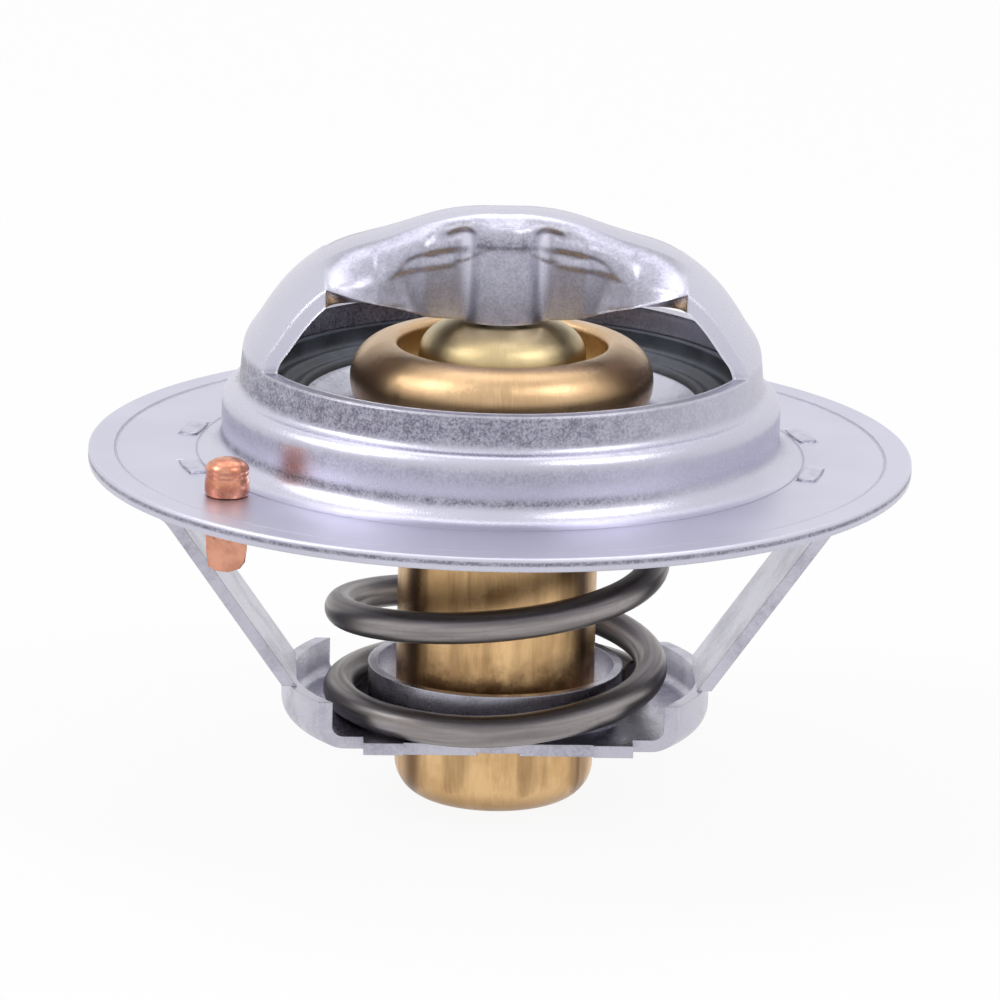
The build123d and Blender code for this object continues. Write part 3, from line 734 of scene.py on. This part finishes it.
def bridge_skin(mesh, places, grid, side, inward):
    """Points of one skin of a finished face, which dives under the sheet at its borders."""
    top = FACE_ROWS - 1
    skin = []
    for x, column in zip(places, grid):
        middle = 1 - smoothstep(FACE_REACH - FACE_FADE, FACE_REACH, abs(x))
        at_side = smoothstep(FACE_REACH - BORDER_WIDTH, FACE_REACH, abs(x))
        spots = []
        for j, (height, _packed, finished) in enumerate(column):
            shown = middle * (1 - smoothstep(FACE_TOP_SHARE * top, top, j))
            at_border = max(at_side, smoothstep(top - BORDER_ROWS, top, j))
            depth = finished - FACE_SUNK + (FACE_SUNK + FACE_PROUD) * shown - inward
            depth -= BORDER_DIVE * at_border
            spots.append(mesh.verts.new((x, side * depth, height)))
        skin.append(spots)
    return skin


def add_bridge_faces(mesh, places, grid):
    """Adds the finished front and back, each a thin closed shell."""
    last = len(places) - 1
    top = FACE_ROWS - 1
    for side in (-1, 1):
        outer = bridge_skin(mesh, places, grid, side, 0.0)
        inner = bridge_skin(mesh, places, grid, side, FACE_THICKNESS)
        for i in range(last):
            for j in range(top):
                for skin in (outer, inner):
                    mesh.faces.new((skin[i][j], skin[i + 1][j], skin[i + 1][j + 1], skin[i][j + 1]))
            for j in (0, top):
                mesh.faces.new((outer[i][j], outer[i + 1][j], inner[i + 1][j], inner[i][j]))
        for j in range(top):
            for i in (0, last):
                mesh.faces.new((outer[i][j], outer[i][j + 1], inner[i][j + 1], inner[i][j]))


def under_face(vertex):
    """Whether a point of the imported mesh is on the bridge, where a finished face may cover it."""
    place = vertex.co
    return abs(place.x) < PULL_REACH and place.z > BELOW_BRIDGE and place.xy.length > SOCKET_REACH


def pull_in(mesh, grid):
    """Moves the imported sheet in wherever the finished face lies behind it, so that the face covers it."""
    for _ in range(SPLIT_ROUNDS):
        long_edges = []
        for edge in mesh.edges:
            if edge.calc_length() > LONGEST_EDGE and all(under_face(vertex) for vertex in edge.verts):
                long_edges.append(edge)
        if not long_edges:
            break
        bmesh.ops.subdivide_edges(mesh, edges=long_edges, cuts=1)
        bmesh.ops.triangulate(mesh, faces=[face for face in mesh.faces if len(face.verts) > 4])
    for vertex in mesh.verts:
        if not under_face(vertex):
            continue
        column = grid[round((vertex.co.x / FACE_REACH + 1) / 2 * FACE_COLUMNS)]
        heights = [row[0] for row in column]
        if not heights[0] <= vertex.co.z <= heights[-1]:
            continue
        packed = read_depth(heights, [row[1] for row in column], vertex.co.z)
        finished = read_depth(heights, [row[2] for row in column], vertex.co.z)
        inward = packed - finished
        if inward > LEAST_PULL:
            side = -1 if vertex.co.y < 0 else 1
            vertex.co.y -= side * (inward + COVER_MARGIN)


def make_frame_stamping(material):
    """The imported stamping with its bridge's front and back finished."""
    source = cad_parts["top_frame"].data
    surface = BVHTree.FromPolygons([v.co for v in source.vertices], [p.vertices for p in source.polygons])
    places = [FACE_REACH * (2 * i / FACE_COLUMNS - 1) for i in range(FACE_COLUMNS + 1)]
    grid = softened(finished_columns(surface, places))
    mesh = bmesh.new()
    mesh.from_mesh(source)
    pull_in(mesh, grid)
    add_bridge_faces(mesh, places, grid)
    return finished_piece(mesh, "frame_stamping", material, SHEET_SHARP_ANGLE)


def turned_shell(mesh, outline, place):
    """Closed round body from an outline of (radius, height) that starts and ends off the axis."""
    rings = []
    for radius, height in outline:
        ring = []
        for k in range(STEPS_ROUND_PIN):
            angle = 2 * pi * k / STEPS_ROUND_PIN
            ring.append(mesh.verts.new(place + Vector((radius * cos(angle), radius * sin(angle), height))))
        rings.append(ring)
    for below, above in zip(rings, rings[1:]):
        for k in range(STEPS_ROUND_PIN):
            beside = (k + 1) % STEPS_ROUND_PIN
            mesh.faces.new((below[k], below[beside], above[beside], above[k]))
    for ring in (rings[0], rings[-1]):
        middle = mesh.verts.new(sum((vertex.co for vertex in ring), Vector()) / STEPS_ROUND_PIN)
        for k in range(STEPS_ROUND_PIN):
            mesh.faces.new((middle, ring[k], ring[(k + 1) % STEPS_ROUND_PIN]))


def add_pin_tail(mesh, place):
    """The pin's lower end, pinched flat."""
    sheets = []
    for depth in (-PIN_TAIL_THICKNESS / 2, PIN_TAIL_THICKNESS / 2):
        sheets.append([mesh.verts.new(place + Vector((x * MM, depth, z * MM))) for x, z in PIN_TAIL])
    front, back = sheets
    rims = [mesh.faces.new(front), mesh.faces.new(list(reversed(back)))]
    for k in range(len(PIN_TAIL)):
        beside = (k + 1) % len(PIN_TAIL)
        mesh.faces.new((front[k], back[k], back[beside], front[beside]))
    rim_edges = [edge for face in rims for edge in face.edges]
    rounding = {"offset": PIN_TAIL_ROUND, "segments": PIN_TAIL_ROUND_STEPS, "profile": 0.5}
    bmesh.ops.bevel(mesh, geom=rim_edges, affect="EDGES", **rounding)


def make_pin(material):
    """Cold-headed pin: domed head over two fine grooves, round shank and a tail pinched flat."""
    low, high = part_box("jiggle_pin")
    middle = (Vector(low) + Vector(high)) / 2
    place = Vector((middle.x + PIN_SHIFT, middle.y, 0))
    outline = [(radius * MM, height * MM) for radius, height in PIN_PROFILE]
    crown = Vector(high).z - PIN_CROWN_START
    for i in range(1, PIN_CROWN_STEPS):
        angle = pi / 2 * i / PIN_CROWN_STEPS
        outline.append((PIN_CROWN_RADIUS * cos(angle), PIN_CROWN_START + crown * sin(angle)))
    mesh = bmesh.new()
    turned_shell(mesh, outline, place)
    shank_end = PIN_TAIL[0][1] * MM - PIN_SHANK_RADIUS
    shank_start = PIN_PROFILE[0][1] * MM
    turned_shell(mesh, [(PIN_SHANK_RADIUS, shank_end), (PIN_SHANK_RADIUS, shank_start)], place)
    add_pin_tail(mesh, place)
    return finished_piece(mesh, "bleed_pin_copper", material, HEADED_SHARP_ANGLE)


def add_staked_end(mesh, side, turn):
    """One upset end: a dented pillow whose rim dips below the flange's face."""
    around = Matrix.Rotation(radians(side + turn), 4, "Z")
    place = around @ Matrix.Translation((TAB_PITCH_RADIUS, 0, FLANGE_TOP))
    rows = []
    for i in range(TAB_STEPS + 1):
        u = 2 * i / TAB_STEPS - 1
        row = []
        for j in range(TAB_STEPS + 1):
            v = 2 * j / TAB_STEPS - 1
            rim = max(abs(u), abs(v)) ** TAB_FLATNESS
            dent = 1 - TAB_DENT + TAB_DENT * cos(TAB_WAVES[0] * u + turn) * cos(TAB_WAVES[1] * v + side)
            height = TAB_HEIGHT * dent * (1 - rim) ** 0.5 - TAB_ROOT_DEPTH * rim
            squeeze = 1 - TAB_CORNER_ROUND * u * u * v * v
            spot = Vector((v * TAB_HALF_WIDTH * squeeze, u * TAB_HALF_LENGTH * squeeze, height))
            row.append(mesh.verts.new(place @ spot))
        rows.append(row)
    for i in range(TAB_STEPS):
        for j in range(TAB_STEPS):
            mesh.faces.new((rows[i][j], rows[i + 1][j], rows[i + 1][j + 1], rows[i][j + 1]))
    border = rows[0][:-1] + [row[-1] for row in rows[:-1]]
    border += rows[-1][:0:-1] + [row[0] for row in rows[:0:-1]]
    mesh.faces.new(border)


def make_staked_ends(material):
    """The tabs' upset ends: four low pillows over their slots, a little longer than the slots."""
    mesh = bmesh.new()
    for side in (0, 180):
        for turn in (TAB_ANGLE, -TAB_ANGLE):
            add_staked_end(mesh, side, turn)
    return finished_piece(mesh, "staked_ends", material, HEADED_SHARP_ANGLE)


def area_lamp(name, direction, distance, size, radiance, tint):
    """Soft box that looks at the part, given by how bright its face is."""
    data = bpy.data.lights.new(name, "AREA")
    data.shape = "RECTANGLE"
    data.size, data.size_y = size
    data.energy = radiance * pi * size[0] * size[1]
    data.color = tint
    lamp = link(bpy.data.objects.new(name, data))
    back = Vector(direction).normalized()
    lamp.location = CAMERA_TARGET + back * distance
    lamp.rotation_mode = "QUATERNION"
    lamp.rotation_quaternion = (-back).to_track_quat("-Z", "Y")


def seen_or_mirrored(tree):
    """One for what the camera sees, straight or in metal and glass."""
    path = tree.nodes.new("ShaderNodeLightPath")
    total = path.outputs["Is Camera Ray"]
    for name in ("Is Glossy Ray", "Is Transmission Ray"):
        larger = tree.nodes.new("ShaderNodeMath")
        larger.operation = "MAXIMUM"
        tree.links.new(total, larger.inputs[0])
        tree.links.new(path.outputs[name], larger.inputs[1])
        total = larger.outputs[0]
    return total


def make_world():
    """White as seen and mirrored, and a plain soft light on the part."""
    world = bpy.data.worlds.new("studio")
    scene.world = world
    world.use_nodes = True
    tree = world.node_tree
    lit = tree.nodes["Background"]
    lit.inputs["Color"].default_value = color(0.93, 0.93, 1.0)
    lit.inputs["Strength"].default_value = WORLD_STRENGTH
    seen = tree.nodes.new("ShaderNodeBackground")
    seen.inputs["Color"].default_value = color(1.0, 1.0, 1.0)
    seen.inputs["Strength"].default_value = 1.0
    blend = tree.nodes.new("ShaderNodeMixShader")
    tree.links.new(seen_or_mirrored(tree), blend.inputs[0])
    tree.links.new(lit.outputs[0], blend.inputs[1])
    tree.links.new(seen.outputs[0], blend.inputs[2])
    tree.links.new(blend.outputs[0], tree.nodes["World Output"].inputs["Surface"])


def make_floor():
    """Pale floor under the part, which keeps its soft shadow."""
    mesh = bpy.data.meshes.new("floor")
    signs = ((-1, -1), (1, -1), (1, 1), (-1, 1))
    corners = [(x * FLOOR_REACH, y * FLOOR_REACH, cad_box[0].z) for x, y in signs]
    mesh.from_pydata(corners, [], [(0, 1, 2, 3)])
    floor = link(bpy.data.objects.new("floor", mesh))
    material = bpy.data.materials.new("pale_floor")
    material.use_nodes = True
    tree = material.node_tree
    plain = tree.nodes["Principled BSDF"]
    plain.inputs["Base Color"].default_value = color(0.97, 0.97, 0.97)
    plain.inputs["Roughness"].default_value = 0.9
    glow = tree.nodes.new("ShaderNodeEmission")
    share = tree.nodes.new("ShaderNodeMath")
    share.operation = "MULTIPLY"
    share.inputs[1].default_value = FLOOR_WHITE_SHARE
    tree.links.new(seen_or_mirrored(tree), share.inputs[0])
    blend = tree.nodes.new("ShaderNodeMixShader")
    tree.links.new(share.outputs[0], blend.inputs[0])
    tree.links.new(plain.outputs[0], blend.inputs[1])
    tree.links.new(glow.outputs[0], blend.inputs[2])
    tree.links.new(blend.outputs[0], tree.nodes["Material Output"].inputs["Surface"])
    mesh.materials.append(material)


def make_camera():
    """The photograph's viewing angle and framing."""
    data = bpy.data.cameras.new("camera")
    data.lens = CAMERA_LENS
    data.sensor_width = CAMERA_SENSOR
    data.clip_start = CAMERA_CLIP_START
    data.clip_end = CAMERA_CLIP_END
    camera = link(bpy.data.objects.new("camera", data))
    level = cos(CAMERA_ELEVATION)
    back = Vector((sin(CAMERA_AZIMUTH) * level, -cos(CAMERA_AZIMUTH) * level, sin(CAMERA_ELEVATION)))
    camera.location = CAMERA_TARGET + back * CAMERA_DISTANCE
    camera.rotation_mode = "QUATERNION"
    camera.rotation_quaternion = (-back).to_track_quat("-Z", "Y") @ Quaternion((0, 0, 1), -CAMERA_ROLL)
    scene.camera = camera


def dress(node, material):
    """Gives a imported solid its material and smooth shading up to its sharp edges."""
    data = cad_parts[node].data
    data.materials.clear()
    data.materials.append(material)
    for face in data.polygons:
        face.use_smooth = True
    data.set_sharp_from_angle(angle=radians(SHEET_SHARP_ANGLE))


make_camera()
make_world()
make_floor()
for lamp_settings in LAMPS:
    area_lamp(*lamp_settings)

pale_steel = color(0.60, 0.592, 0.70)
# Dark tone that the painted shade and the grain mix the steel towards
grey_steel = color(0.10, 0.095, 0.14)
frame_steel = stamped_steel("frame_steel", pale_steel, grey_steel, 0.2, frame_zones, WINDOW_EDGE_ROUND)
# Light, deep and darkest tone of each brass; the cup's darkest serves its staining and its painted shade
cup_tones = (color(0.80, 0.53, 0.27), color(0.60, 0.37, 0.17), color(0.17, 0.09, 0.04))
guide_tones = (color(0.80, 0.66, 0.34), color(0.62, 0.50, 0.24), color(0.35, 0.26, 0.12))
seal_tones = (color(0.065, 0.078, 0.105), color(0.026, 0.032, 0.046))
boot_tones = (color(0.035, 0.035, 0.038), color(0.012, 0.012, 0.013))

dress("lower_bridge", stamped_steel("bridge_steel", color(0.59, 0.583, 0.665), grey_steel, 0.18, plain_zones))
dress("valve_plate", stamped_steel("valve_steel", color(0.60, 0.60, 0.70), grey_steel, 0.16, plain_zones))
dress("piston", stamped_steel("piston_steel", color(0.62, 0.62, 0.66), grey_steel, 0.14, plain_zones))
dress("capsule_cup", turned_brass("cup_brass", *cup_tones, 0.2, cup_stains_and_shade))
dress("capsule_guide", turned_brass("guide_brass", *guide_tones, 0.26, guide_stains))
dress("valve_seal", moulded_rubber("seal_rubber", *seal_tones, 0.3))
dress("rubber_boot", moulded_rubber("boot_rubber", *boot_tones, 0.45))
dress("backup_ring", waxy("ring_plastic", color(0.84, 0.83, 0.78), color(0.74, 0.73, 0.68), 0.35))
dress("wax_charge", waxy("copper_wax", color(0.68, 0.44, 0.24), color(0.50, 0.30, 0.15), 0.5))

stamping = make_frame_stamping(frame_steel)
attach(stamping, "frame")
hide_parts("top_frame")

staked_ends = make_staked_ends(stamped_steel("staked_steel", pale_steel, grey_steel, 0.26, staked_zones))
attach(staked_ends, "frame")

pin = make_pin(copper("pin_copper"))
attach(pin, "bleed_pin")
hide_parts("jiggle_pin")

spring = make_spring(drawn_wire("spring_steel"))
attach(spring, "frame")
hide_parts("return_spring")
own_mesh(spring)
